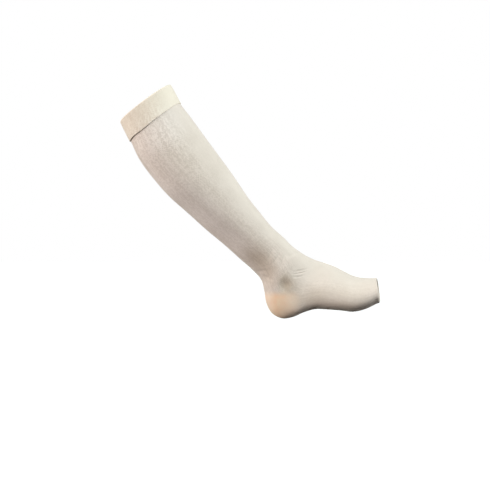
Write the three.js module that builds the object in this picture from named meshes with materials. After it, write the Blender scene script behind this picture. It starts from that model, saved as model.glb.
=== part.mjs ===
// Knee-high compression stocking with an open toe, hollow and filled out, in the
// pose of a raised lower leg with the foot pointing forward.
//
// Millimetres, +Z up. +X runs towards the toe and +Y towards the inner side of a
// right leg. The origin is the middle of the top band, where the calf holds it.
//
// The knitted tube is described by sections. Each section is a closed ring that
// runs from the front line (shin, instep, top of the toe opening) round to the
// back line (calf, heel, sole) and returns on the other side.

import * as THREE from "three";

// Cloth
const WALL = 1.2; // the knitted wall of leg, heel and foot
const BAND_HEIGHT = 35; // the top band, from its fold to its lower edge
const BAND_CLOTH = 2.0; // the band's turned cloth, two layers
const BAND_FLARE = 0.5; // how far the band's lower edge stands off the leg
const SEAM_GAP = 0.3; // between the leg and the band that lies on it, and between zones
const EDGE_ROUND = 0.8; // rounding of the band's lower edge
const TOE_EDGE = 0.7; // how far the finished toe edge is thicker than the wall
const TOE_EDGE_WIDTH = 6; // length of that thicker edge

// Mesh fineness
const AROUND = 38; // points round each ring
const ROUND_STEPS = 240; // fine steps that space those points evenly
const SLOPE_STEP = 0.5; // distance used to measure a slope along the tube, each way
const SLOPE_TURN = 0.004; // share of a turn used to measure a slope round it

// The sections, from the top of the band to the edge of the toe opening.
// frontX, frontZ, backX, backZ: the front and back line, seen from the side.
// breadth: width across. widest: where that width lies, from -1 at the back line
// to 1 at the front line. frontFull, backFull: how square each end of the ring is,
// 0 for an ellipse. ridge: how far the front line lies towards the inner side.
// lead: how far the inner side runs ahead of the outer side. spacing: between rings.
const COLUMNS = [
  "frontX", "frontZ", "backX", "backZ",
  "breadth", "widest", "frontFull", "backFull", "ridge", "lead", "spacing",
];
const SECTIONS = {
  topEdge:     [ 30.0,   45.1, -46.8,  -12.7,  97,  0.00,  0.04,  0.10,  0, 0, 9.0],
  belowBand:   [ 46.9,   16.3, -32.1,  -44.1, 102, -0.04,  0.02,  0.08,  0, 0, 9.0],
  upperCalf:   [ 63.4,   -5.4, -18.4,  -72.9, 106, -0.08, -0.02,  0.08,  0, 0, 9.5],
  calf:        [ 86.5,  -37.4,   3.4, -103.1, 107, -0.10, -0.04,  0.06,  0, 0, 9.5],
  lowerCalf:   [110.3,  -69.0,  30.3, -133.4, 103, -0.10, -0.04,  0.04,  0, 0, 9.5],
  shin:        [133.4, -101.3,  60.3, -160.1,  93, -0.06, -0.02,  0.00,  0, 0, 9.5],
  lowerShin:   [155.7, -134.1,  89.9, -186.7,  81,  0.00,  0.00, -0.06,  0, 0, 9.5],
  aboveAnkle:  [175.8, -159.7, 117.7, -209.9,  71,  0.06,  0.02, -0.10,  0, 0, 8.5],
  ankleTop:    [194.8, -182.3, 144.1, -233.7,  64,  0.08,  0.04, -0.12,  1, 0, 6.0],
  ankle:       [211.5, -197.5, 163.1, -250.3,  61,  0.08,  0.06, -0.12,  1, 0, 2.7],
  ankleBend:   [226.1, -212.1, 177.0, -266.3,  63,  0.04,  0.06, -0.08,  2, 0, 2.6],
  heelTop:     [237.5, -220.5, 181.9, -284.8,  66,  0.02,  0.04,  0.00,  2, 0, 2.6],
  heelBack:    [247.5, -227.1, 185.1, -303.3,  66,  0.00,  0.02,  0.06,  3, 0, 2.6],
  heelTurn:    [256.5, -231.7, 193.8, -319.3,  64, -0.04,  0.00,  0.08,  4, 0, 2.6],
  heelBottom:  [265.5, -235.2, 209.5, -327.7,  63, -0.10, -0.02,  0.10,  5, 0, 2.8],
  heelFront:   [274.5, -237.8, 226.5, -325.9,  65, -0.14, -0.04,  0.11,  6, 0, 4.6],
  arch:        [284.0, -240.7, 244.5, -318.4,  68, -0.18, -0.04,  0.12,  7, 1, 6.5],
  instep:      [296.0, -245.3, 263.0, -313.1,  73, -0.22, -0.02,  0.12,  8, 2, 8.0],
  midfoot:     [310.0, -252.7, 283.5, -313.6,  79, -0.24,  0.00,  0.13,  9, 3, 8.5],
  forefoot:    [324.0, -259.4, 304.5, -315.2,  86, -0.24,  0.02,  0.14, 10, 5, 8.5],
  ball:        [338.0, -262.8, 325.0, -317.0,  91, -0.22,  0.03,  0.14, 11, 7, 8.5],
  beforeToes:  [350.5, -263.5, 345.5, -312.2,  91, -0.16,  0.05,  0.13, 11, 8, 7.5],
  toeEdge:     [362.1, -263.7, 366.7, -301.4,  86, -0.08,  0.06,  0.11, 10, 9, 6.0],
};

// Soft creases where the cloth bends at the ankle. at: distance down the tube.
// turn: place round the ring, 0 at the front line, 0.25 on the inner side and
// -0.25 on the outer side. reach: half length, as a share of the ring.
// slant: how far the crease drops along the tube over its half length.
const CREASES = [
  { at: 373, turn: -0.146, reach: 0.055, slant:  12.8, halfWidth:  2.9, depth: 0.8 },
  { at: 374, turn: -0.163, reach: 0.045, slant:  11.2, halfWidth:  2.8, depth: 0.9 },
  { at: 376, turn: -0.183, reach: 0.036, slant:  10.2, halfWidth:  2.6, depth: 0.7 },
  { at: 365, turn: -0.280, reach: 0.050, slant:   2.0, halfWidth: 11.0, depth: 2.3 },
  { at: 338, turn: -0.383, reach: 0.050, slant:   9.5, halfWidth:  4.0, depth: 1.0 },
  { at: 324, turn: -0.398, reach: 0.070, slant:   8.0, halfWidth:  4.6, depth: 0.6 },
  { at: 315, turn: -0.254, reach: 0.080, slant:  -4.8, halfWidth:  3.8, depth: 0.5 },
  { at: 326, turn: -0.231, reach: 0.070, slant:  -3.0, halfWidth:  3.4, depth: 0.5 },
  { at: 335, turn: -0.202, reach: 0.065, slant:  -4.4, halfWidth:  3.6, depth: 0.5 },
  { at: 342, turn: -0.120, reach: 0.070, slant:   6.0, halfWidth:  4.2, depth: 0.5 },
  { at: 368, turn:  0.150, reach: 0.052, slant: -12.0, halfWidth:  3.0, depth: 0.8 },
  { at: 371, turn:  0.171, reach: 0.044, slant: -11.0, halfWidth:  2.8, depth: 0.8 },
  { at: 377, turn:  0.186, reach: 0.034, slant: -10.0, halfWidth:  2.6, depth: 0.6 },
  { at: 364, turn:  0.282, reach: 0.048, slant:  -2.0, halfWidth: 10.5, depth: 2.0 },
  { at: 336, turn:  0.388, reach: 0.052, slant:  -9.0, halfWidth:  4.2, depth: 0.9 },
  { at: 322, turn:  0.410, reach: 0.065, slant:  -7.0, halfWidth:  4.8, depth: 0.6 },
  { at: 317, turn:  0.245, reach: 0.075, slant:   4.0, halfWidth:  3.8, depth: 0.5 },
  { at: 328, turn:  0.224, reach: 0.068, slant:   3.5, halfWidth:  3.4, depth: 0.5 },
  { at: 338, turn:  0.190, reach: 0.060, slant:   4.0, halfWidth:  3.6, depth: 0.5 },
];

// Colours from the garment: ecru knit, and the smoother, brighter band
const KNIT = new THREE.MeshStandardMaterial({ color: 0xd8cdbd, roughness: 0.92, metalness: 0 });
const BAND = new THREE.MeshStandardMaterial({ color: 0xded2c0, roughness: 0.85, metalness: 0 });

// Rows of the table as objects, each with its distance down the tube's middle.
const rows = Object.values(SECTIONS).map(
  (numbers) => Object.fromEntries(COLUMNS.map((name, i) => [name, numbers[i]])),
);
rows.forEach((row, i) => {
  row.middle = new THREE.Vector2(row.frontX + row.backX, row.frontZ + row.backZ).divideScalar(2);
  row.at = i ? rows[i - 1].at + row.middle.distanceTo(rows[i - 1].middle) : 0;
});
const LENGTH = rows.at(-1).at;

// The tube is knitted in one, with these zones of different pressure. Each is a
// solid of its own, a plain ring, so that a simulator can keep it hollow.
// end: distance down the tube where the zone ends.
const ZONES = [
  { name: "upper_leg_knit", end: 149.6 },
  { name: "lower_leg_knit", end: 299.2 },
  { name: "heel_knit", end: 400.4 },
  { name: "foot_knit", end: LENGTH },
];

// Slope of a column at a row, from the rows on both sides of it.
function slope(name, i) {
  const before = rows[Math.max(i - 1, 0)];
  const after = rows[Math.min(i + 1, rows.length - 1)];
  return (after[name] - before[name]) / (after.at - before.at);
}

// The section at a distance down the tube, on a smooth curve through the rows.
function sectionAt(at) {
  const next = rows.findIndex((row) => row.at > at);
  const i = next < 0 ? rows.length - 2 : Math.max(next - 1, 0);
  const span = rows[i + 1].at - rows[i].at;
  const t = (at - rows[i].at) / span;
  const section = {};
  for (const name of COLUMNS) {
    section[name] =
      rows[i][name] * (1 + 2 * t) * (1 - t) ** 2 +
      rows[i + 1][name] * t * t * (3 - 2 * t) +
      slope(name, i) * span * t * (1 - t) ** 2 -
      slope(name, i + 1) * span * t * t * (1 - t);
  }
  return section;
}

// A point of a section's ring at an angle: 0 on the front line, half a turn on
// the back line, with the inner side of the leg (+Y) in between.
function ringPoint(section, angle) {
  const c = Math.cos(angle);
  const s = Math.sin(angle);
  const full = c > 0 ? section.frontFull : section.backFull;
  const along = c * (1 + full * s * s) + section.widest * s * s;
  const across = s * (1 + full * c * c);
  const chord = new THREE.Vector2(section.frontX - section.backX, section.frontZ - section.backZ);
  const half = chord.length() / 2;
  const up = chord.normalize();
  const ahead = (section.lead / 2) * across;
  const rise = (1 + along) / 2;
  return new THREE.Vector3(
    (section.frontX + section.backX) / 2 + up.x * half * along + up.y * ahead,
    (section.breadth / 2) * across + section.ridge * rise * rise,
    (section.frontZ + section.backZ) / 2 + up.y * half * along - up.x * ahead,
  );
}

// The angles that space points evenly round a ring, as a lookup by share of a turn.
function evenAngles(section) {
  const lengths = [0];
  let last = ringPoint(section, 0);
  for (let i = 1; i <= ROUND_STEPS; i++) {
    const point = ringPoint(section, (2 * Math.PI * i) / ROUND_STEPS);
    lengths.push(lengths[i - 1] + point.distanceTo(last));
    last = point;
  }
  return (turn) => {
    const wanted = (turn - Math.floor(turn)) * lengths[ROUND_STEPS];
    const found = lengths.findIndex((length) => length > wanted);
    const i = found < 0 ? ROUND_STEPS : found;
    const share = (wanted - lengths[i - 1]) / (lengths[i] - lengths[i - 1]);
    return (2 * Math.PI * (i - 1 + share)) / ROUND_STEPS;
  };
}

// A smooth bump: 1 at 0, falling to 0 at 1 and beyond.
const bump = (x) => (Math.abs(x) < 1 ? (1 - x * x) ** 2 : 0);

// Depth of the creases at a place on the tube.
function creaseDepth(at, turn) {
  let depth = 0;
  for (const crease of CREASES) {
    const off = turn - crease.turn;
    const away = (off - Math.round(off)) / crease.reach;
    const down = (at - crease.at - crease.slant * away) / crease.halfWidth;
    depth += crease.depth * bump(away) * bump(down);
  }
  return depth;
}

// The tube's outer surface at a place, and that surface moved out along its normal.
function surfacePoint(at, turn) {
  const section = sectionAt(at);
  return ringPoint(section, evenAngles(section)(turn));
}
function movedOut(at, turn, out) {
  const low = Math.max(at - SLOPE_STEP, 0);
  const high = Math.min(at + SLOPE_STEP, LENGTH);
  const down = surfacePoint(high, turn).sub(surfacePoint(low, turn));
  const round = surfacePoint(at, turn + SLOPE_TURN).sub(surfacePoint(at, turn - SLOPE_TURN));
  const normal = down.cross(round).normalize();
  return surfacePoint(at, turn).addScaledVector(normal, out - creaseDepth(at, turn));
}

// A closed body from loops of equal length. The loops follow each other round
// the body and the last joins the first, as a hose bent into a ring.
function closedBody(loops) {
  const count = loops[0].length;
  const positions = loops.flat().flatMap((point) => point.toArray());
  const faces = [];
  loops.forEach((_, i) => {
    const a = i * count;
    const b = ((i + 1) % loops.length) * count;
    for (let j = 0; j < count; j++) {
      const k = (j + 1) % count;
      faces.push(a + j, b + j, b + k, a + j, b + k, a + k);
    }
  });
  const geometry = new THREE.BufferGeometry();
  geometry.setAttribute("position", new THREE.Float32BufferAttribute(positions, 3));
  geometry.setIndex(faces);
  geometry.computeVertexNormals();
  return geometry;
}

// One loop round the tube at a distance down it, moved out from its surface.
function loop(at, out) {
  return Array.from({ length: AROUND }, (_, i) => movedOut(at, i / AROUND, out));
}

// Distances of the rings, from start to end, as far apart as the table says.
function ringPlaces(start, end) {
  const places = [start];
  let at = start;
  while (at + sectionAt(at).spacing * 1.5 < end) {
    at += sectionAt(at).spacing;
    places.push(at);
  }
  return [...places, end];
}

// A length of the knitted tube, open at both ends, with a thicker edge at the toe.
function knitRing(start, end) {
  const places = ringPlaces(start, end);
  const edge = (at) => TOE_EDGE * bump(Math.min((LENGTH - at) / TOE_EDGE_WIDTH, 1));
  const outside = places.map((at) => loop(at, edge(at)));
  const inside = places.map((at) => loop(at, -WALL)).reverse();
  return closedBody([...outside, ...inside]);
}

// How far the front line moves for each millimetre down the tube's middle: less
// than 1 where the tube bends forward.
function frontShare(at) {
  const before = surfacePoint(at - SLOPE_STEP, 0);
  const after = surfacePoint(at + SLOPE_STEP, 0);
  return before.distanceTo(after) / (2 * SLOPE_STEP);
}

// The top band: turned cloth that hangs over the tube's upper edge.
function topBand() {
  const rim = BAND_CLOTH + SEAM_GAP;
  const outer = SEAM_GAP + BAND_CLOTH;
  const middle = (outer - WALL) / 2;
  const reach = (outer + WALL) / 2;
  const fold = [0, 1, 2, 3, 4].map((i) => (Math.PI * i) / 4);
  const flare = (at) => BAND_FLARE * (at / BAND_HEIGHT) ** 3;
  const down = ringPlaces(rim, BAND_HEIGHT);
  const foldLoops = fold.map((angle) =>
    loop(BAND_CLOTH * (1 - Math.sin(angle)), middle - reach * Math.cos(angle)),
  );
  const outerLoops = down
    .slice(1, -1)
    .map((at) => loop(at, outer + flare(at)));
  const hem = [
    loop(BAND_HEIGHT - EDGE_ROUND, outer + BAND_FLARE),
    loop(BAND_HEIGHT, outer + BAND_FLARE - EDGE_ROUND),
  ];
  const innerLoops = down.map((at) => loop(at, SEAM_GAP + flare(at))).reverse();
  const corner = loop(BAND_CLOTH, SEAM_GAP);
  return closedBody([...foldLoops, ...outerLoops, ...hem, ...innerLoops, corner]);
}

const stocking = new THREE.Group();
function addMesh(name, geometry, material) {
  const mesh = new THREE.Mesh(geometry, material);
  mesh.name = name;
  stocking.add(mesh);
}

addMesh("top_band", topBand(), BAND);
let start = BAND_CLOTH + SEAM_GAP;
for (const zone of ZONES) {
  addMesh(zone.name, knitRing(start, zone.end), KNIT);
  start = zone.end + SEAM_GAP / frontShare(zone.end);
}

export default stocking;
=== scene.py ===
"""Knee-high compression stocking with an open toe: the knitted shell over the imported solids."""

import math

import bpy
import numpy as np
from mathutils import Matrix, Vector


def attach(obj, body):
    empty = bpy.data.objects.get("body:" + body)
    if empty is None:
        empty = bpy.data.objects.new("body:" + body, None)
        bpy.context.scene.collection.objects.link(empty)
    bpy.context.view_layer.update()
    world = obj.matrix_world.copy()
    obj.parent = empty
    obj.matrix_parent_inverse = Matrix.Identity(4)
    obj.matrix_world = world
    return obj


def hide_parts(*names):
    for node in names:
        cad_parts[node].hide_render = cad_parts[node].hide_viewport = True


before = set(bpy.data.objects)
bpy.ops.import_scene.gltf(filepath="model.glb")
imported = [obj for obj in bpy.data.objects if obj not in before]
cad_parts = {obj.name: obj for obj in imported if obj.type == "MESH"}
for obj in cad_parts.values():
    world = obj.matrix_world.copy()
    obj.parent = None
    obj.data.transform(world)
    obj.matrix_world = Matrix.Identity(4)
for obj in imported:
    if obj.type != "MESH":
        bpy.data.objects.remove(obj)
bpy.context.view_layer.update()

# Sizes in millimetres. The sections and soft creases are those of the solids.
MM = 0.001
WALL = 1.2
BAND_HEIGHT = 35.0
BAND_CLOTH = 2.0  # both layers of the band together
BAND_FLARE = 0.3  # how far the band's lower edge stands off, at the back
HEM_RADIUS = 0.7  # of the band's rolled lower edge
SEAM_GAP = 0.3
RIM = BAND_CLOTH + SEAM_GAP  # distance from the top edge to where the leg's knit starts

# Knit
WALES = 176  # columns of stitches round the tube
COURSE = 2.2  # length of one course along the tube
COURSE_RELIEF = 0.11  # how far a course stands up
BAND_COURSE = 1.9
BAND_RELIEF = 0.09
DRUM = 43.0  # radius of the knitting drum, which sets the pattern's scale round the tube
ROWS_PER_COURSE = 4
LEG_AROUND = 104
FOOT_AROUND = 208
BAND_AROUND = 208
INNER_STEP = 6.0  # distance between rings on the plain inside
SPLIT = 136 * COURSE  # where the leg's mesh meets the foot's, between two courses

# The toe edge: a few thicker courses that finish the opening, and a rounded rim
TOE_EDGE = 0.7
TOE_EDGE_WIDTH = 6.0
TOE_ROUND = 0.45
TOE_ROUND_WIDTH = 0.9
TOE_RIM = [(0.0, 0.28), (-0.45, 0.36), (-0.95, 0.22)]  # out of the surface, and past the edge

# The heel pocket, seen from the side: it ends at this height and this far forward
HEEL_TOP = -288.0
HEEL_FRONT = 236.0
HEEL_CORNER = 12.0
HEEL_SLOPE = 0.05  # how much its upper edge rises for each millimetre forward
HEEL_SLOPE_FROM = 190.0
HEEL_BLEND = 7.0  # half the width over which its knit starts
HEEL_PALES_FROM = 200.0  # forward of this its colour fades into the knit round it
HEEL_BACK = 186.0  # towards this, its back line, it is a little paler too
GORE_RIDGE = 0.10  # the raised line round the pocket
GORE_WIDTH = 1.6

# How far the worn cloth lies off the smooth form, in broad and in smaller swells
DRAPE_BROAD = 0.22
DRAPE_SMALL = 0.10

# How rough the knit looks at distances down the tube: most on the upper calf
GRAIN_PLACES = [0, 50, 80, 120, 180, 250, 300, 345, 390, 518]
GRAIN_VALUES = [0.55, 1.8, 2.1, 1.3, 0.85, 0.8, 1.35, 1.25, 0.55, 0.4]

# Painted light (above 0) and painted shade (below 0) in the cloth's colour: paler on the calf's
# sides and back, darker above the heel, in the hollow behind the ankle, on the arch, the foot's
# sides and the sole.
# Columns: distance down the tube, place round it, half length, half width as a share of a turn,
# amount
PAINTED_SHADING_COLUMNS = ["at", "turn", "halfLength", "halfTurn", "tone"]
PAINTED_SHADING_PATCHES = [
    [ 52, -0.24,  46, 0.24,  0.13],
    [130, -0.20,  90, 0.20, -0.04],
    [200, -0.37, 170, 0.15,  0.22],
    [309, -0.35,  40, 0.14, -0.30],
    [341, -0.37,  22, 0.13, -0.13],
    [364, -0.272, 20, 0.080, -0.29],
    [379, -0.258, 19, 0.065, -0.13],
    [412, -0.31,  36, 0.10, -0.10],
    [455, -0.30,  80, 0.15, -0.08],
    [456,  0.50,  76, 0.22, -0.24],
    [455,  0.30,  80, 0.15, -0.06],
    [205,  0.36, 160, 0.15,  0.18],
    [311,  0.35,  38, 0.14, -0.24],
    [341,  0.37,  22, 0.13, -0.10],
    [362,  0.276, 15, 0.060, -0.22],
]

COLUMNS = [
    "frontX", "frontZ", "backX", "backZ",
    "breadth", "widest", "frontFull", "backFull", "ridge", "lead",
]
SECTIONS = {
    "topEdge":    [ 30.0,   45.1, -46.8,  -12.7,  97,  0.00,  0.04,  0.10,  0, 0],
    "belowBand":  [ 46.9,   16.3, -32.1,  -44.1, 102, -0.04,  0.02,  0.08,  0, 0],
    "upperCalf":  [ 63.4,   -5.4, -18.4,  -72.9, 106, -0.08, -0.02,  0.08,  0, 0],
    "calf":       [ 86.5,  -37.4,   3.4, -103.1, 107, -0.10, -0.04,  0.06,  0, 0],
    "lowerCalf":  [110.3,  -69.0,  30.3, -133.4, 103, -0.10, -0.04,  0.04,  0, 0],
    "shin":       [133.4, -101.3,  60.3, -160.1,  93, -0.06, -0.02,  0.00,  0, 0],
    "lowerShin":  [155.7, -134.1,  89.9, -186.7,  81,  0.00,  0.00, -0.06,  0, 0],
    "aboveAnkle": [175.8, -159.7, 117.7, -209.9,  71,  0.06,  0.02, -0.10,  0, 0],
    "ankleTop":   [194.8, -182.3, 144.1, -233.7,  64,  0.08,  0.04, -0.12,  1, 0],
    "ankle":      [211.5, -197.5, 163.1, -250.3,  61,  0.08,  0.06, -0.12,  1, 0],
    "ankleBend":  [226.1, -212.1, 177.0, -266.3,  63,  0.04,  0.06, -0.08,  2, 0],
    "heelTop":    [237.5, -220.5, 181.9, -284.8,  66,  0.02,  0.04,  0.00,  2, 0],
    "heelBack":   [247.5, -227.1, 185.1, -303.3,  66,  0.00,  0.02,  0.06,  3, 0],
    "heelTurn":   [256.5, -231.7, 193.8, -319.3,  64, -0.04,  0.00,  0.08,  4, 0],
    "heelBottom": [265.5, -235.2, 209.5, -327.7,  63, -0.10, -0.02,  0.10,  5, 0],
    "heelFront":  [274.5, -237.8, 226.5, -325.9,  65, -0.14, -0.04,  0.11,  6, 0],
    "arch":       [284.0, -240.7, 244.5, -318.4,  68, -0.18, -0.04,  0.12,  7, 1],
    "instep":     [296.0, -245.3, 263.0, -313.1,  73, -0.22, -0.02,  0.12,  8, 2],
    "midfoot":    [310.0, -252.7, 283.5, -313.6,  79, -0.24,  0.00,  0.13,  9, 3],
    "forefoot":   [324.0, -259.4, 304.5, -315.2,  86, -0.24,  0.02,  0.14, 10, 5],
    "ball":       [338.0, -262.8, 325.0, -317.0,  91, -0.22,  0.03,  0.14, 11, 7],
    "beforeToes": [350.5, -263.5, 345.5, -312.2,  91, -0.16,  0.05,  0.13, 11, 8],
    "toeEdge":    [362.1, -263.7, 366.7, -301.4,  86, -0.08,  0.06,  0.11, 10, 9],
}
TABLE = np.array(list(SECTIONS.values()), float)
MIDDLES = (TABLE[:, 0:2] + TABLE[:, 2:4]) / 2
PLACES = np.concatenate([[0.0], np.cumsum(np.linalg.norm(np.diff(MIDDLES, axis=0), axis=1))])
LENGTH = PLACES[-1]

# Creases: distance down the tube, place round it (0 front, 0.25 inner, -0.25 outer),
# half length as a share of the ring, drop along the tube over that, half width, depth
CREASE_COLUMNS = ["at", "turn", "reach", "slant", "halfWidth", "depth"]
SOFT_CREASES = [
    [373, -0.146, 0.055,  12.8,  2.9, 0.80],
    [374, -0.163, 0.045,  11.2,  2.8, 0.90],
    [376, -0.183, 0.036,  10.2,  2.6, 0.70],
    [365, -0.280, 0.050,   2.0, 11.0, 2.30],
    [338, -0.383, 0.050,   9.5,  4.0, 1.00],
    [324, -0.398, 0.070,   8.0,  4.6, 0.60],
    [315, -0.254, 0.080,  -4.8,  3.8, 0.50],
    [326, -0.231, 0.070,  -3.0,  3.4, 0.50],
    [335, -0.202, 0.065,  -4.4,  3.6, 0.50],
    [342, -0.120, 0.070,   6.0,  4.2, 0.50],
    [368,  0.150, 0.052, -12.0,  3.0, 0.80],
    [371,  0.171, 0.044, -11.0,  2.8, 0.80],
    [377,  0.186, 0.034, -10.0,  2.6, 0.60],
    [364,  0.282, 0.048,  -2.0, 10.5, 2.00],
    [336,  0.388, 0.052,  -9.0,  4.2, 0.90],
    [322,  0.410, 0.065,  -7.0,  4.8, 0.60],
    [317,  0.245, 0.075,   4.0,  3.8, 0.50],
    [328,  0.224, 0.068,   3.5,  3.4, 0.50],
    [338,  0.190, 0.060,   4.0,  3.6, 0.50],
]
# Thin lines inside the ripples, with a low ridge on both sides of each
FINE_CREASES = [
    [372, -0.140, 0.036,   8.4,  1.5, 0.30],
    [375, -0.160, 0.034,   8.5,  1.5, 0.38],
    [377, -0.184, 0.026,   7.4,  1.4, 0.30],
    [368, -0.172, 0.022,   5.4,  1.3, 0.22],
    [382, -0.176, 0.020,   5.0,  1.3, 0.18],
    [367,  0.146, 0.036,  -8.2,  1.5, 0.30],
    [372,  0.168, 0.032,  -8.0,  1.5, 0.34],
    [378,  0.186, 0.024,  -7.0,  1.4, 0.26],
    [363,  0.166, 0.022,  -5.0,  1.3, 0.20],
]
RIDGE_OFF = 1.35  # from the crease's middle, in half widths
RIDGE_WIDTH = 0.9
RIDGE_SHARE = 0.45  # of the crease's depth


def section_at(at):
    """The table's columns at distances down the tube, on a smooth curve through the rows."""
    at = np.asarray(at, float)
    i = np.clip(np.searchsorted(PLACES, at, side="right") - 1, 0, len(PLACES) - 2)
    slopes = np.empty_like(TABLE)
    slopes[1:-1] = (TABLE[2:] - TABLE[:-2]) / (PLACES[2:] - PLACES[:-2])[:, None]
    slopes[0] = (TABLE[1] - TABLE[0]) / (PLACES[1] - PLACES[0])
    slopes[-1] = (TABLE[-1] - TABLE[-2]) / (PLACES[-1] - PLACES[-2])
    span = (PLACES[i + 1] - PLACES[i])[:, None]
    t = (at[:, None] - PLACES[i][:, None]) / span
    rows = (
        TABLE[i] * (1 + 2 * t) * (1 - t) ** 2
        + TABLE[i + 1] * t * t * (3 - 2 * t)
        + slopes[i] * span * t * (1 - t) ** 2
        - slopes[i + 1] * span * t * t * (1 - t)
    )
    return {name: rows[:, k:k + 1] for k, name in enumerate(COLUMNS)}


def ring_points(section, angle):
    """Points of each section's ring at angles: 0 on the front line, half a turn on the back."""
    c, s = np.cos(angle), np.sin(angle)
    full = np.where(c > 0, section["frontFull"], section["backFull"])
    along = c * (1 + full * s * s) + section["widest"] * s * s
    across = s * (1 + full * c * c)
    up_x = section["frontX"] - section["backX"]
    up_z = section["frontZ"] - section["backZ"]
    chord = np.hypot(up_x, up_z)
    up_x, up_z, half = up_x / chord, up_z / chord, chord / 2
    ahead = section["lead"] / 2 * across
    rise = (1 + along) / 2
    return np.stack([
        (section["frontX"] + section["backX"]) / 2 + up_x * half * along + up_z * ahead,
        section["breadth"] / 2 * across + section["ridge"] * rise * rise,
        (section["frontZ"] + section["backZ"]) / 2 + up_z * half * along - up_x * ahead,
    ], axis=-1)


FINE_TURNS = np.linspace(0, 1, 241)
STEP_DOWN = 0.4  # small steps over which the surface's slopes are taken
STEP_ROUND = 0.003


def surface(at, turns):
    """Points of the tube's smooth outer surface, a ring for each distance in at."""
    section = section_at(at)
    fine_angles = np.broadcast_to(2 * np.pi * FINE_TURNS, (len(at), len(FINE_TURNS)))
    fine = ring_points(section, fine_angles)
    steps = np.linalg.norm(np.diff(fine, axis=1), axis=2)
    walked = np.concatenate([np.zeros((len(at), 1)), np.cumsum(steps, axis=1)], axis=1)
    share = np.mod(turns, 1.0)
    angles = np.empty(share.shape)
    for k in range(len(at)):
        angles[k] = 2 * np.pi * np.interp(share[k] * walked[k, -1], walked[k], FINE_TURNS)
    return ring_points(section, angles)


def surface_and_normals(at, turns):
    """The smooth surface and its outward normals."""
    low = np.clip(at - STEP_DOWN, 0, LENGTH)
    high = np.clip(at + STEP_DOWN, 0, LENGTH)
    down = surface(high, turns) - surface(low, turns)
    across = surface(at, turns + STEP_ROUND) - surface(at, turns - STEP_ROUND)
    normal = np.cross(down, across)
    normal /= np.linalg.norm(normal, axis=2, keepdims=True)
    return surface(at, turns), normal


def bump(x):
    """1 at 0, falling smoothly to 0 at 1 and beyond."""
    return np.where(np.abs(x) < 1, (1 - np.minimum(x * x, 1)) ** 2, 0.0)


def smoothstep(low, high, x):
    """0 before low, 1 beyond high, and smooth between them."""
    t = np.clip((x - low) / (high - low), 0, 1)
    return t * t * (3 - 2 * t)


def off_place(turns, place):
    """How far round the tube places lie from one place, the short way."""
    off = turns - place
    return off - np.round(off)


def creases_at(creases, at, turns):
    """For each crease of a table: its depth, and how far places lie off its ends and its line."""
    for row in creases:
        crease = dict(zip(CREASE_COLUMNS, row))
        away = off_place(turns, crease["turn"]) / crease["reach"]
        down = (at - crease["at"] - crease["slant"] * away) / crease["halfWidth"]
        yield crease["depth"], away, down


def crease_depth(creases, at, turns):
    """Depth of a table of creases at places on the tube."""
    total = np.zeros(np.broadcast(at, turns).shape)
    for depth, away, down in creases_at(creases, at, turns):
        total += depth * bump(away) * bump(down)
    return total


def crease_ridges(creases, at, turns):
    """Low ridges on both sides of each crease, where the cloth is pushed up."""
    total = np.zeros(np.broadcast(at, turns).shape)
    for depth, away, down in creases_at(creases, at, turns):
        for side in (-RIDGE_OFF, RIDGE_OFF):
            total += RIDGE_SHARE * depth * bump(away) * bump((down - side) / RIDGE_WIDTH)
    return total


def ring_noise(at, turns, cells, length, seed):
    """Smooth noise from -1 to 1 that closes round the tube: cells round it, length along it."""
    rng = np.random.default_rng(seed)
    rows = int(LENGTH / length) + 4
    grid = rng.uniform(-1, 1, (rows, cells))
    u = np.mod(turns, 1.0) * cells
    v = np.clip(at / length + 1, 0, rows - 2)
    u, v = np.broadcast_arrays(u, v)
    i, j = np.floor(v).astype(int), np.floor(u).astype(int)
    fu, fv = u - j, v - i
    fu, fv = fu * fu * (3 - 2 * fu), fv * fv * (3 - 2 * fv)
    j0, j1 = j % cells, (j + 1) % cells
    top = grid[i, j0] * (1 - fu) + grid[i, j1] * fu
    low = grid[i + 1, j0] * (1 - fu) + grid[i + 1, j1] * fu
    return top * (1 - fv) + low * fv


def heel_share(points):
    """How much of the heel pocket's colour shows, and how far points lie outside the pocket."""
    forward, up = points[..., 0], points[..., 2]
    x = forward - (HEEL_FRONT - HEEL_CORNER)
    z = up - (HEEL_TOP - HEEL_CORNER) - HEEL_SLOPE * (forward - HEEL_SLOPE_FROM)
    outside = np.hypot(np.maximum(x, 0), np.maximum(z, 0))
    distance = outside + np.minimum(np.maximum(x, z), 0) - HEEL_CORNER
    strength = 1 - 0.7 * smoothstep(HEEL_PALES_FROM, HEEL_FRONT, forward)
    strength = strength - 0.45 * smoothstep(HEEL_PALES_FROM, HEEL_BACK, forward)
    return smoothstep(HEEL_BLEND, -HEEL_BLEND, distance) * strength, distance


def grain(at, turns):
    """How rough the knit is: less along the front line and the back line than on the sides."""
    along = np.interp(at, GRAIN_PLACES, GRAIN_VALUES)
    off_front = np.abs(off_place(turns, 0.0))
    side = 0.12 + 0.88 * smoothstep(0.12, 0.25, off_front)
    back = 1 - 0.4 * smoothstep(0.38, 0.46, off_front)
    return along * side * back


def painted_light_and_shade(at, turns):
    """Painted light and shade in the cloth's colour at places on the tube: a factor, 1 for most of
    it.
    """
    tone = np.ones(np.broadcast(at, turns).shape)
    for row in PAINTED_SHADING_PATCHES:
        patch = dict(zip(PAINTED_SHADING_COLUMNS, row))
        across = off_place(turns, patch["turn"]) / patch["halfTurn"]
        down = (at - patch["at"]) / patch["halfLength"]
        tone += patch["tone"] * bump(across) * bump(down)
    return tone


def course_wave(at, pitch):
    """Rounded ridges with narrower grooves, one to a course."""
    wave = 0.5 - 0.5 * np.cos(2 * np.pi * at / pitch)
    return 1.35 * wave ** 0.7 - 0.75


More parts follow.
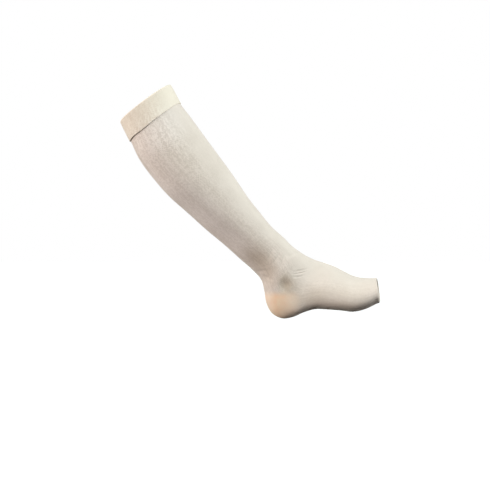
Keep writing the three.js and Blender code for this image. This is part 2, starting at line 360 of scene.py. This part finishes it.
def tube_relief(at, turns, points):
    """What the knit and the drape add to the tube's smooth surface."""
    heel, distance = heel_share(points)
    uneven = 0.85 + 0.35 * ring_noise(at, turns, 23, 17.0, 5)
    courses = COURSE_RELIEF * uneven * course_wave(at, COURSE) * grain(at, turns)
    courses = courses * (1 - 0.75 * heel)
    gore = GORE_RIDGE * bump(distance / GORE_WIDTH)
    drape = DRAPE_BROAD * ring_noise(at, turns, 9, 46.0, 7)
    drape = drape + DRAPE_SMALL * ring_noise(at, turns, 17, 21.0, 8)
    folds = crease_ridges(FINE_CREASES, at, turns) - crease_depth(FINE_CREASES, at, turns)
    return courses + gore + drape + folds - crease_depth(SOFT_CREASES, at, turns)


def ring_turns(count, rows):
    """Places round the tube of a ring's points, the same for a number of rings."""
    return np.broadcast_to(np.arange(count) / count, (rows, count))


def make_piece(name, points, at, turns, sharp_loops, material, pitch):
    """A closed shell from loops that follow each other round it, the last joining the first."""
    loops, count = points.shape[:2]
    coords = points.reshape(-1, 3) * MM
    i = np.arange(loops)[:, None]
    j = np.arange(count)[None, :]
    a, b = i * count, ((i + 1) % loops) * count
    k = (j + 1) % count
    quads = np.stack([a + j, b + j, b + k, a + k], axis=-1).reshape(-1, 4)
    mesh = bpy.data.meshes.new(name)
    mesh.vertices.add(len(coords))
    mesh.vertices.foreach_set("co", coords.ravel())
    mesh.loops.add(quads.size)
    mesh.loops.foreach_set("vertex_index", quads.ravel().astype(np.int32))
    mesh.polygons.add(len(quads))
    mesh.polygons.foreach_set("loop_start", np.arange(0, quads.size, 4, dtype=np.int32))
    mesh.polygons.foreach_set("use_smooth", np.ones(len(quads), bool))
    mesh.update(calc_edges=True)
    mesh.validate()

    # A rectangle for the bake: round the tube by the distance walked over the loops
    steps = np.linalg.norm(np.roll(points, -1, axis=0) - points, axis=2).mean(axis=1)
    walked = np.concatenate([[0], np.cumsum(steps)]) / steps.sum()
    u0, u1 = j / count, (j + 1) / count
    v0, v1 = walked[:-1][:, None], walked[1:][:, None]
    ones = np.ones((loops, count))
    bake = np.stack([u0 * ones, v0 * ones, u0 * ones, v1 * ones,
                     u1 * ones, v1 * ones, u1 * ones, v0 * ones], axis=-1)
    mesh.uv_layers.new(name="OFBake").data.foreach_set("uv", bake.ravel())

    # Stitch counts: wales round the tube and courses down it
    down0 = (at / pitch)[:, None]
    down1 = np.roll(down0, -1, axis=0)
    stitch = np.stack([u0 * WALES * ones, down0 * ones, u0 * WALES * ones, down1 * ones,
                       u1 * WALES * ones, down1 * ones, u1 * WALES * ones, down0 * ones], axis=-1)
    mesh.uv_layers.new(name="stitches").data.foreach_set("uv", stitch.ravel())

    # Where each point lay on the knitting drum, so that patterns close round the tube
    angle = 2 * np.pi * turns
    drum = np.stack([DRUM * np.cos(angle), DRUM * np.sin(angle),
                     np.broadcast_to(at[:, None], turns.shape)], axis=-1)
    field = mesh.attributes.new("drum", "FLOAT_VECTOR", "POINT")
    field.data.foreach_set("vector", drum.reshape(-1, 3).ravel())
    down = at[:, None]
    shares = {
        "heel": heel_share(points)[0],
        "grain": grain(down, turns),
        # painted light and shade, kept as the tone attribute
        "tone": painted_light_and_shade(down, turns),
    }
    for attribute, values in shares.items():
        field = mesh.attributes.new(attribute, "FLOAT", "POINT")
        field.data.foreach_set("value", values.ravel())

    edges = np.empty(len(mesh.edges) * 2, np.int32)
    mesh.edges.foreach_get("vertices", edges)
    ring = edges.reshape(-1, 2) // count
    sharp = (ring[:, 0] == ring[:, 1]) & np.isin(ring[:, 0], sharp_loops)
    mesh.attributes.new("sharp_edge", "BOOLEAN", "EDGE").data.foreach_set("value", sharp)

    mesh.materials.append(material)
    piece = bpy.data.objects.new(name, mesh)
    bpy.context.scene.collection.objects.link(piece)
    return piece


def tube_rows(start, end):
    """Row places: several to a course."""
    count = int(round((end - start) / COURSE * ROWS_PER_COURSE))
    return np.linspace(start, end, count + 1)


def tube_piece(name, start, end, around, material, closes_at_toe):
    """A length of the knitted tube: fine courses outside, a plain inside."""
    outer_at = tube_rows(start, end)
    inner_at = np.linspace(end, start, int((end - start) / INNER_STEP) + 2)
    turns_out = ring_turns(around, len(outer_at))
    base, normal = surface_and_normals(outer_at, turns_out)
    at = outer_at[:, None]
    relief = tube_relief(at, turns_out, base)
    if closes_at_toe:
        edge = TOE_EDGE * bump(np.minimum((LENGTH - at) / TOE_EDGE_WIDTH, 1))
        relief = relief + edge - TOE_ROUND * bump((LENGTH - at) / TOE_ROUND_WIDTH)
    outer = base + normal * relief[..., None]
    turns_in = ring_turns(around, len(inner_at))
    base_in, normal_in = surface_and_normals(inner_at, turns_in)
    fold_in = crease_depth(SOFT_CREASES, inner_at[:, None], turns_in)
    inner = base_in - normal_in * (WALL + fold_in)[..., None]
    if closes_at_toe:
        # The edge rounds over to the inside
        tip, tip_normal = surface_and_normals(np.array([LENGTH]), ring_turns(around, 1))
        before = surface(np.array([LENGTH - 2 * STEP_DOWN]), ring_turns(around, 1))
        ahead = tip - before
        ahead /= np.linalg.norm(ahead, axis=2, keepdims=True)
        rim = [tip + tip_normal * out + ahead * reach for out, reach in TOE_RIM]
        points = np.concatenate([outer, *rim, inner])
        place = np.concatenate([outer_at, [LENGTH] * len(rim), inner_at])
        sharp = [0, len(points) - 1]
    else:
        points = np.concatenate([outer, inner])
        place = np.concatenate([outer_at, inner_at])
        sharp = [0, len(outer_at) - 1, len(outer_at), len(points) - 1]
    turns = ring_turns(around, len(points))
    return make_piece(name, points, place, turns, sharp, material, COURSE)


def hem_place(turns):
    """Where the band's lower edge lies: not quite even round the leg."""
    broad = 0.45 * np.sin(2 * np.pi * (turns * 3 + 0.1))
    return broad + 0.3 * np.sin(2 * np.pi * (turns * 7 + 0.4))


def band_stand(turns):
    """How far the band's lower edge stands off: most at the back, and a little uneven."""
    back = 0.5 - 0.5 * np.cos(2 * np.pi * turns)
    return BAND_FLARE * (0.20 + 0.80 * back) + 0.12 * np.sin(2 * np.pi * (turns * 5 + 0.2))


def band_thins(turns):
    """How much thinner the band's outer layer gets towards its lower edge: most at the front."""
    return 0.85 + 0.45 * (1 - smoothstep(0.03, 0.24, np.abs(off_place(turns, 0.0))))


def band_surface(down, turns):
    """The smooth surface where the distance down differs from point to point in a ring."""
    rows = np.linspace(0, BAND_HEIGHT + 3, 80)
    base, normal = surface_and_normals(rows, ring_turns(turns.shape[1], len(rows)))
    step = np.clip(down / rows[-1] * (len(rows) - 1), 0, len(rows) - 1.001)
    i = np.floor(step).astype(int)
    f = (step - i)[..., None]
    j = np.broadcast_to(np.arange(turns.shape[1]), turns.shape)
    point = base[i, j] * (1 - f) + base[i + 1, j] * f
    direction = normal[i, j] * (1 - f) + normal[i + 1, j] * f
    return point, direction / np.linalg.norm(direction, axis=2, keepdims=True)


def band_piece(name, material):
    """The turned band: a rounded fold on top, two layers of cloth, a rolled lower edge."""
    outer_out = SEAM_GAP + BAND_CLOTH
    middle = (outer_out - WALL) / 2
    reach = (outer_out + WALL) / 2
    # Each loop: distance down, distance out, how much it hangs free, how much its courses show
    loops = []
    for angle in np.linspace(0, math.pi, 13):
        at = BAND_CLOTH * (1 - math.sin(angle))
        loops.append((at, middle - reach * math.cos(angle), 0.0, 0.0))
    row_step = BAND_COURSE / ROWS_PER_COURSE
    for at in np.arange(BAND_CLOTH + 0.4, BAND_HEIGHT - HEM_RADIUS - 0.2, row_step):
        loops.append((at, outer_out, (at / BAND_HEIGHT) ** 3, 1.0))
    for angle in np.linspace(0.1, math.pi, 9):
        at = BAND_HEIGHT - HEM_RADIUS * (1 - math.sin(angle))
        out = outer_out - HEM_RADIUS * (1 - math.cos(angle))
        loops.append((at, out, 1.0, 0.0))
    for at in np.linspace(BAND_HEIGHT - 2.0, BAND_CLOTH + SEAM_GAP, 9):
        loops.append((at, SEAM_GAP, (at / BAND_HEIGHT) ** 3, 0.0))
    loops.append((BAND_CLOTH, SEAM_GAP, 0.0, 0.0))
    place, out, hang, knit = (np.array(c) for c in zip(*loops))
    turns = ring_turns(BAND_AROUND, len(loops))
    down = place[:, None] + hem_place(turns) * hang[:, None]
    points, normal = band_surface(down, turns)
    outer_layer = out > SEAM_GAP + 0.01
    stands = np.where(outer_layer, 1.0, 0.3)
    relief = out[:, None] + band_stand(turns) * (hang * stands)[:, None]
    uneven = 0.8 + 0.4 * ring_noise(down, turns, 31, 9.0, 11)
    relief = relief + BAND_RELIEF * uneven * course_wave(down, BAND_COURSE) * knit[:, None]
    relief = relief + 0.16 * ring_noise(down, turns, 11, 14.0, 12) * knit[:, None]
    relief = relief - band_thins(turns) * (hang * outer_layer)[:, None]
    points = points + normal * relief[..., None]
    return make_piece(name, points, place, turns, [], material, BAND_COURSE)


# Noises of the knit on the drum: scale across, scale along, detail, roughness
NOISE_COLUMNS = ["across", "along", "detail", "roughness"]
NOISES = {
    "lengthwise": [0.30, 0.022, 4.0, 0.55],
    "crosswise": [0.05, 0.62, 3.0, 0.55],
    "cloudy": [0.035, 0.03, 3.0, 0.55],
    "speckle": [0.40, 0.22, 2.0, 0.70],
    "patches": [0.055, 0.05, 2.0, 0.55],
    "heel": [0.10, 0.10, 3.0, 0.55],
}

# Painted shade is warmer and painted light cooler: the three colours' factors are gain times tone
# plus shift
WARMTH_GAIN = (0.86, 1.0, 1.22)
WARMTH_SHIFT = (0.14, 0.0, -0.22)


def linear(red, green, blue):
    """An sRGB colour of 0 to 255 as linear values for a shader."""
    def one(v):
        v /= 255
        return v / 12.92 if v <= 0.04045 else ((v + 0.055) / 1.055) ** 2.4
    return (one(red), one(green), one(blue), 1.0)


class Nodes:
    """Short names for building a material's nodes."""

    def __init__(self, name):
        self.material = bpy.data.materials.new(name)
        self.material.use_nodes = True
        self.tree = self.material.node_tree
        self.shader = self.tree.nodes["Principled BSDF"]

    def add(self, kind, **settings):
        node = self.tree.nodes.new(kind)
        for key, value in settings.items():
            setattr(node, key, value)
        return node

    def link(self, source, target):
        self.tree.links.new(source, target)

    def math(self, operation, a, b=None, c=None):
        node = self.add("ShaderNodeMath", operation=operation)
        for socket, value in zip(node.inputs, (a, b, c)):
            if value is None:
                continue
            if isinstance(value, (int, float)):
                socket.default_value = value
            else:
                self.link(value, socket)
        return node.outputs[0]

    def noise(self, vector, scale, detail, roughness):
        node = self.add("ShaderNodeTexNoise")
        node.inputs["Scale"].default_value = scale
        node.inputs["Detail"].default_value = detail
        node.inputs["Roughness"].default_value = roughness
        self.link(vector, node.inputs["Vector"])
        return node.outputs["Fac"]

    def stretch(self, vector, x, y, z):
        node = self.add("ShaderNodeVectorMath", operation="MULTIPLY")
        node.inputs[1].default_value = (x, y, z)
        self.link(vector, node.inputs[0])
        return node.outputs[0]

    def drum_noise(self, drum, name):
        """One of the knit's noises, stretched along or across the tube."""
        row = dict(zip(NOISE_COLUMNS, NOISES[name]))
        vector = self.stretch(drum, row["across"], row["across"], row["along"])
        return self.noise(vector, 1.0, row["detail"], row["roughness"])

    def tint(self, colour, factors):
        node = self.add("ShaderNodeVectorMath", operation="MULTIPLY")
        self.link(colour, node.inputs[0])
        self.link(factors, node.inputs[1])
        return node.outputs[0]

    def mix(self, share, first, second):
        node = self.add("ShaderNodeMix", data_type="RGBA", clamp_factor=True)
        self.link(share, node.inputs[0])
        for socket, value in ((node.inputs[6], first), (node.inputs[7], second)):
            if isinstance(value, tuple):
                socket.default_value = value
            else:
                self.link(value, socket)
        return node.outputs[2]

    def spread(self, value, low, high, to_low=0.0, to_high=1.0):
        node = self.add("ShaderNodeMapRange", clamp=True)
        for socket, number in zip(node.inputs[1:5], (low, high, to_low, to_high)):
            socket.default_value = number
        self.link(value, node.inputs[0])
        return node.outputs[0]


def knit_material(name, colours, relief, mottle):
    """Elastic jersey: columns of V-shaped stitches, uneven yarn, a soft mottle."""
    n = Nodes(name)
    uv = n.add("ShaderNodeUVMap", uv_map="stitches").outputs[0]
    split = n.add("ShaderNodeSeparateXYZ")
    n.link(uv, split.inputs[0])
    wale = split.outputs[0]
    course = n.math("MULTIPLY", split.outputs[1], 2.0)
    # Each wale is a column of Vs: raised in its middle, with a groove at its sides
    across = n.math("MULTIPLY_ADD", n.math("FRACT", wale), 2.0, -1.0)
    across = n.math("ABSOLUTE", across)
    column = n.math("SUBTRACT", 1.0, n.math("POWER", across, 2.2))
    leg = n.math("ADD", course, n.math("MULTIPLY", across, 0.5))
    loop = n.math("MULTIPLY_ADD", n.math("COSINE", n.math("MULTIPLY", leg, 2 * math.pi)), 0.5, 0.5)
    stitch = n.math("ADD", n.math("MULTIPLY", column, 0.6), n.math("MULTIPLY", loop, 0.4))

    drum = n.add("ShaderNodeAttribute", attribute_name="drum").outputs["Vector"]
    place = n.add("ShaderNodeTexCoord").outputs["Object"]
    lengthwise = n.drum_noise(drum, "lengthwise")
    crosswise = n.drum_noise(drum, "crosswise")
    cloudy = n.drum_noise(drum, "cloudy")
    speckle = n.drum_noise(drum, "speckle")
    fuzz = n.noise(place, 2600.0, 2.0, 0.6)

    # Small knots two wales and two courses apart, in patches
    round_wave = n.math("COSINE", n.math("MULTIPLY", wale, math.pi))
    down_wave = n.math("COSINE", n.math("MULTIPLY", split.outputs[1], math.pi))
    knots = n.math("MULTIPLY", round_wave, down_wave)
    patches = n.spread(n.drum_noise(drum, "patches"), 0.42, 0.60)
    knots = n.math("MULTIPLY", knots, patches)

    # The yarn's tone, stronger where the knit is rough
    rough_cloth = n.add("ShaderNodeAttribute", attribute_name="grain").outputs["Fac"]
    tone = n.spread(lengthwise, 0.34, 0.66, -0.17, 0.17)
    tone = n.math("ADD", tone, n.spread(crosswise, 0.34, 0.66, -0.08, 0.08))
    tone = n.math("ADD", tone, n.spread(speckle, 0.36, 0.64, -0.21, 0.21))
    tone = n.math("MULTIPLY", n.math("MULTIPLY_ADD", knots, 0.20, tone), rough_cloth)
    tone = n.math("ADD", tone, n.spread(cloudy, 0.3, 0.7, -0.09, 0.09))
    cloth = n.mix(n.spread(tone, -mottle, mottle), colours["shade"], colours["light"])
    # Painted light and shade from the tone attribute, warmer where darker
    painted_shading_factor = n.add("ShaderNodeAttribute", attribute_name="tone").outputs["Fac"]
    warmth = n.add("ShaderNodeVectorMath", operation="MULTIPLY_ADD")
    warmth.inputs[1].default_value = WARMTH_GAIN
    warmth.inputs[2].default_value = WARMTH_SHIFT
    n.link(painted_shading_factor, warmth.inputs[0])
    cloth = n.tint(cloth, warmth.outputs[0])

    # The warmer heel pocket, and painted shade in the grooves between stitches
    heel = n.add("ShaderNodeAttribute", attribute_name="heel").outputs["Fac"]
    heel_tone = n.spread(n.drum_noise(drum, "heel"), 0.35, 0.65)
    heel_cloth = n.mix(heel_tone, colours["heel_shade"], colours["heel_light"])
    cloth = n.mix(heel, cloth, heel_cloth)
    groove = n.spread(stitch, 0.0, 0.55, 0.20, 0.0)
    cloth = n.mix(groove, cloth, colours["groove"])
    n.link(cloth, n.shader.inputs["Base Color"])

    rough = n.math("ADD", n.math("MULTIPLY", fuzz, 0.5), n.math("MULTIPLY", stitch, 0.5))
    n.link(n.spread(rough, 0.2, 0.8, 0.94, 0.80), n.shader.inputs["Roughness"])
    n.shader.inputs["Sheen Weight"].default_value = 0.22
    n.shader.inputs["Sheen Roughness"].default_value = 0.45
    n.shader.inputs["Sheen Tint"].default_value = (1.0, 0.97, 0.92, 1.0)
    n.shader.inputs["Specular IOR Level"].default_value = 0.22

    # Relief of the stitches, the yarn and its fibres
    height = n.math("ADD", n.math("MULTIPLY", lengthwise, 1.1), n.math("MULTIPLY", speckle, 1.5))
    height = n.math("MULTIPLY_ADD", knots, 0.5, height)
    height = n.math("MULTIPLY_ADD", height, rough_cloth, n.math("MULTIPLY_ADD", fuzz, 0.25, stitch))
    knob = n.add("ShaderNodeBump")
    knob.inputs["Strength"].default_value = 1.0
    knob.inputs["Distance"].default_value = relief * MM
    n.link(height, knob.inputs["Height"])
    n.link(knob.outputs[0], n.shader.inputs["Normal"])
    return n.material


KNIT_COLOURS = {
    "shade": linear(210, 195, 184),
    "light": linear(227, 213, 203),
    # painted shade in the grooves between stitches
    "groove": linear(176, 161, 147),
    "heel_shade": linear(251, 212, 180),
    "heel_light": linear(253, 223, 193),
}
BAND_COLOURS = dict(
    KNIT_COLOURS,
    shade=linear(223, 207, 190),
    light=linear(237, 224, 209),
    # painted shade in the grooves between stitches
    groove=linear(190, 176, 158),
)
knit = knit_material("ecru_knit", KNIT_COLOURS, relief=0.16, mottle=0.22)
welt = knit_material("ecru_band", BAND_COLOURS, relief=0.12, mottle=0.28)

# Pieces
leg = tube_piece("leg_cloth", RIM, SPLIT, LEG_AROUND, knit, closes_at_toe=False)
foot = tube_piece("foot_cloth", SPLIT, LENGTH, FOOT_AROUND, knit, closes_at_toe=True)
band = band_piece("band_cloth", welt)

for piece in (leg, foot, band):
    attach(piece, "root")
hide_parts("upper_leg_knit", "lower_leg_knit")
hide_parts("heel_knit", "foot_knit")
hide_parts("top_band")

# Stage, in metres: a pale floor, a bright surround, soft lights from the right and the left
FLOOR_Z = -0.56
FLOOR_HALF = 30
floor_corners = [
    (side_x * FLOOR_HALF, side_y * FLOOR_HALF, FLOOR_Z)
    for side_x, side_y in ((-1, -1), (1, -1), (1, 1), (-1, 1))
]
floor_mesh = bpy.data.meshes.new("floor")
floor_mesh.from_pydata(floor_corners, [], [(0, 1, 2, 3)])
floor = bpy.data.objects.new("floor", floor_mesh)
bpy.context.scene.collection.objects.link(floor)
paint = Nodes("pale_floor")
paint.shader.inputs["Base Color"].default_value = (0.86, 0.86, 0.85, 1)
paint.shader.inputs["Roughness"].default_value = 0.9
paint.shader.inputs["Emission Color"].default_value = (1, 1, 1, 1)
paint.shader.inputs["Emission Strength"].default_value = 0.5
floor_mesh.materials.append(paint.material)
floor.visible_diffuse = False

# The surround's brightness from straight down, 0, to straight up, 1
SURROUND = [
    (0.00, (0.01, 0.008, 0.006, 1)),
    (0.22, (0.015, 0.012, 0.01, 1)),
    (0.40, (0.07, 0.06, 0.05, 1)),
    (0.47, (0.38, 0.36, 0.34, 1)),
    (0.49, (1.0, 1.0, 1.0, 1)),
    (0.60, (1.0, 1.0, 1.0, 1)),
    (0.72, (0.60, 0.64, 0.63, 1)),
    (1.00, (0.60, 0.65, 0.62, 1)),
]
world = bpy.data.worlds.new("studio")
bpy.context.scene.world = world
world.use_nodes = True
tree = world.node_tree
background = tree.nodes["Background"]
where = tree.nodes.new("ShaderNodeTexCoord")
height = tree.nodes.new("ShaderNodeSeparateXYZ")
ramp = tree.nodes.new("ShaderNodeValToRGB")
shift = tree.nodes.new("ShaderNodeMapRange")
for socket, number in zip(shift.inputs[1:5], (-1.0, 1.0, 0.0, 1.0)):
    socket.default_value = number
tree.links.new(where.outputs["Generated"], height.inputs[0])
tree.links.new(height.outputs["Z"], shift.inputs[0])
tree.links.new(shift.outputs[0], ramp.inputs[0])
tree.links.new(ramp.outputs[0], background.inputs["Color"])
stops = ramp.color_ramp.elements
stops[0].position, stops[0].color = SURROUND[0]
stops[1].position, stops[1].color = SURROUND[-1]
for position, colour in SURROUND[1:-1]:
    stop = stops.new(position)
    stop.color = colour
background.inputs["Strength"].default_value = 1.0


LIGHT_AIM = (0.12, 0, -0.18)
LIGHT_SIZE = 1.3


def area_light(name, place, power, colour):
    """A round soft light that faces the stocking's middle."""
    data = bpy.data.lights.new(name, "AREA")
    data.shape = "DISK"
    data.size = LIGHT_SIZE
    data.energy = power
    data.color = colour
    light = bpy.data.objects.new(name, data)
    bpy.context.scene.collection.objects.link(light)
    light.location = place
    direction = np.array(LIGHT_AIM) - np.array(place)
    light.rotation_mode = "QUATERNION"
    light.rotation_quaternion = Vector(direction).to_track_quat("-Z", "Y")


area_light("key", (2.3, -1.3, 1.6), 70, (0.84, 0.985, 0.985))
area_light("left_front", (-2.4, -1.2, 0.3), 40, (1.0, 0.94, 0.885))
area_light("left", (-2.7, 0.15, 0.25), 22, (1.0, 0.975, 0.955))

# Camera, level and square on to the outer side
CAMERA_DISTANCE = 2.5
SENSOR = 36
FRAME_HEIGHT = 491 * 1.6 * MM  # the frame's rows, each 1.6 mm at the leg
camera_data = bpy.data.cameras.new("camera")
camera = bpy.data.objects.new("camera", camera_data)
bpy.context.scene.collection.objects.link(camera)
camera.location = (0.1509, -CAMERA_DISTANCE, -0.2113)
camera.rotation_euler = (math.pi / 2, 0, 0)
camera_data.sensor_width = SENSOR
camera_data.lens = SENSOR * CAMERA_DISTANCE / FRAME_HEIGHT
bpy.context.scene.camera = camera

scene = bpy.context.scene
scene.view_settings.view_transform = "Standard"
scene.view_settings.look = "None"
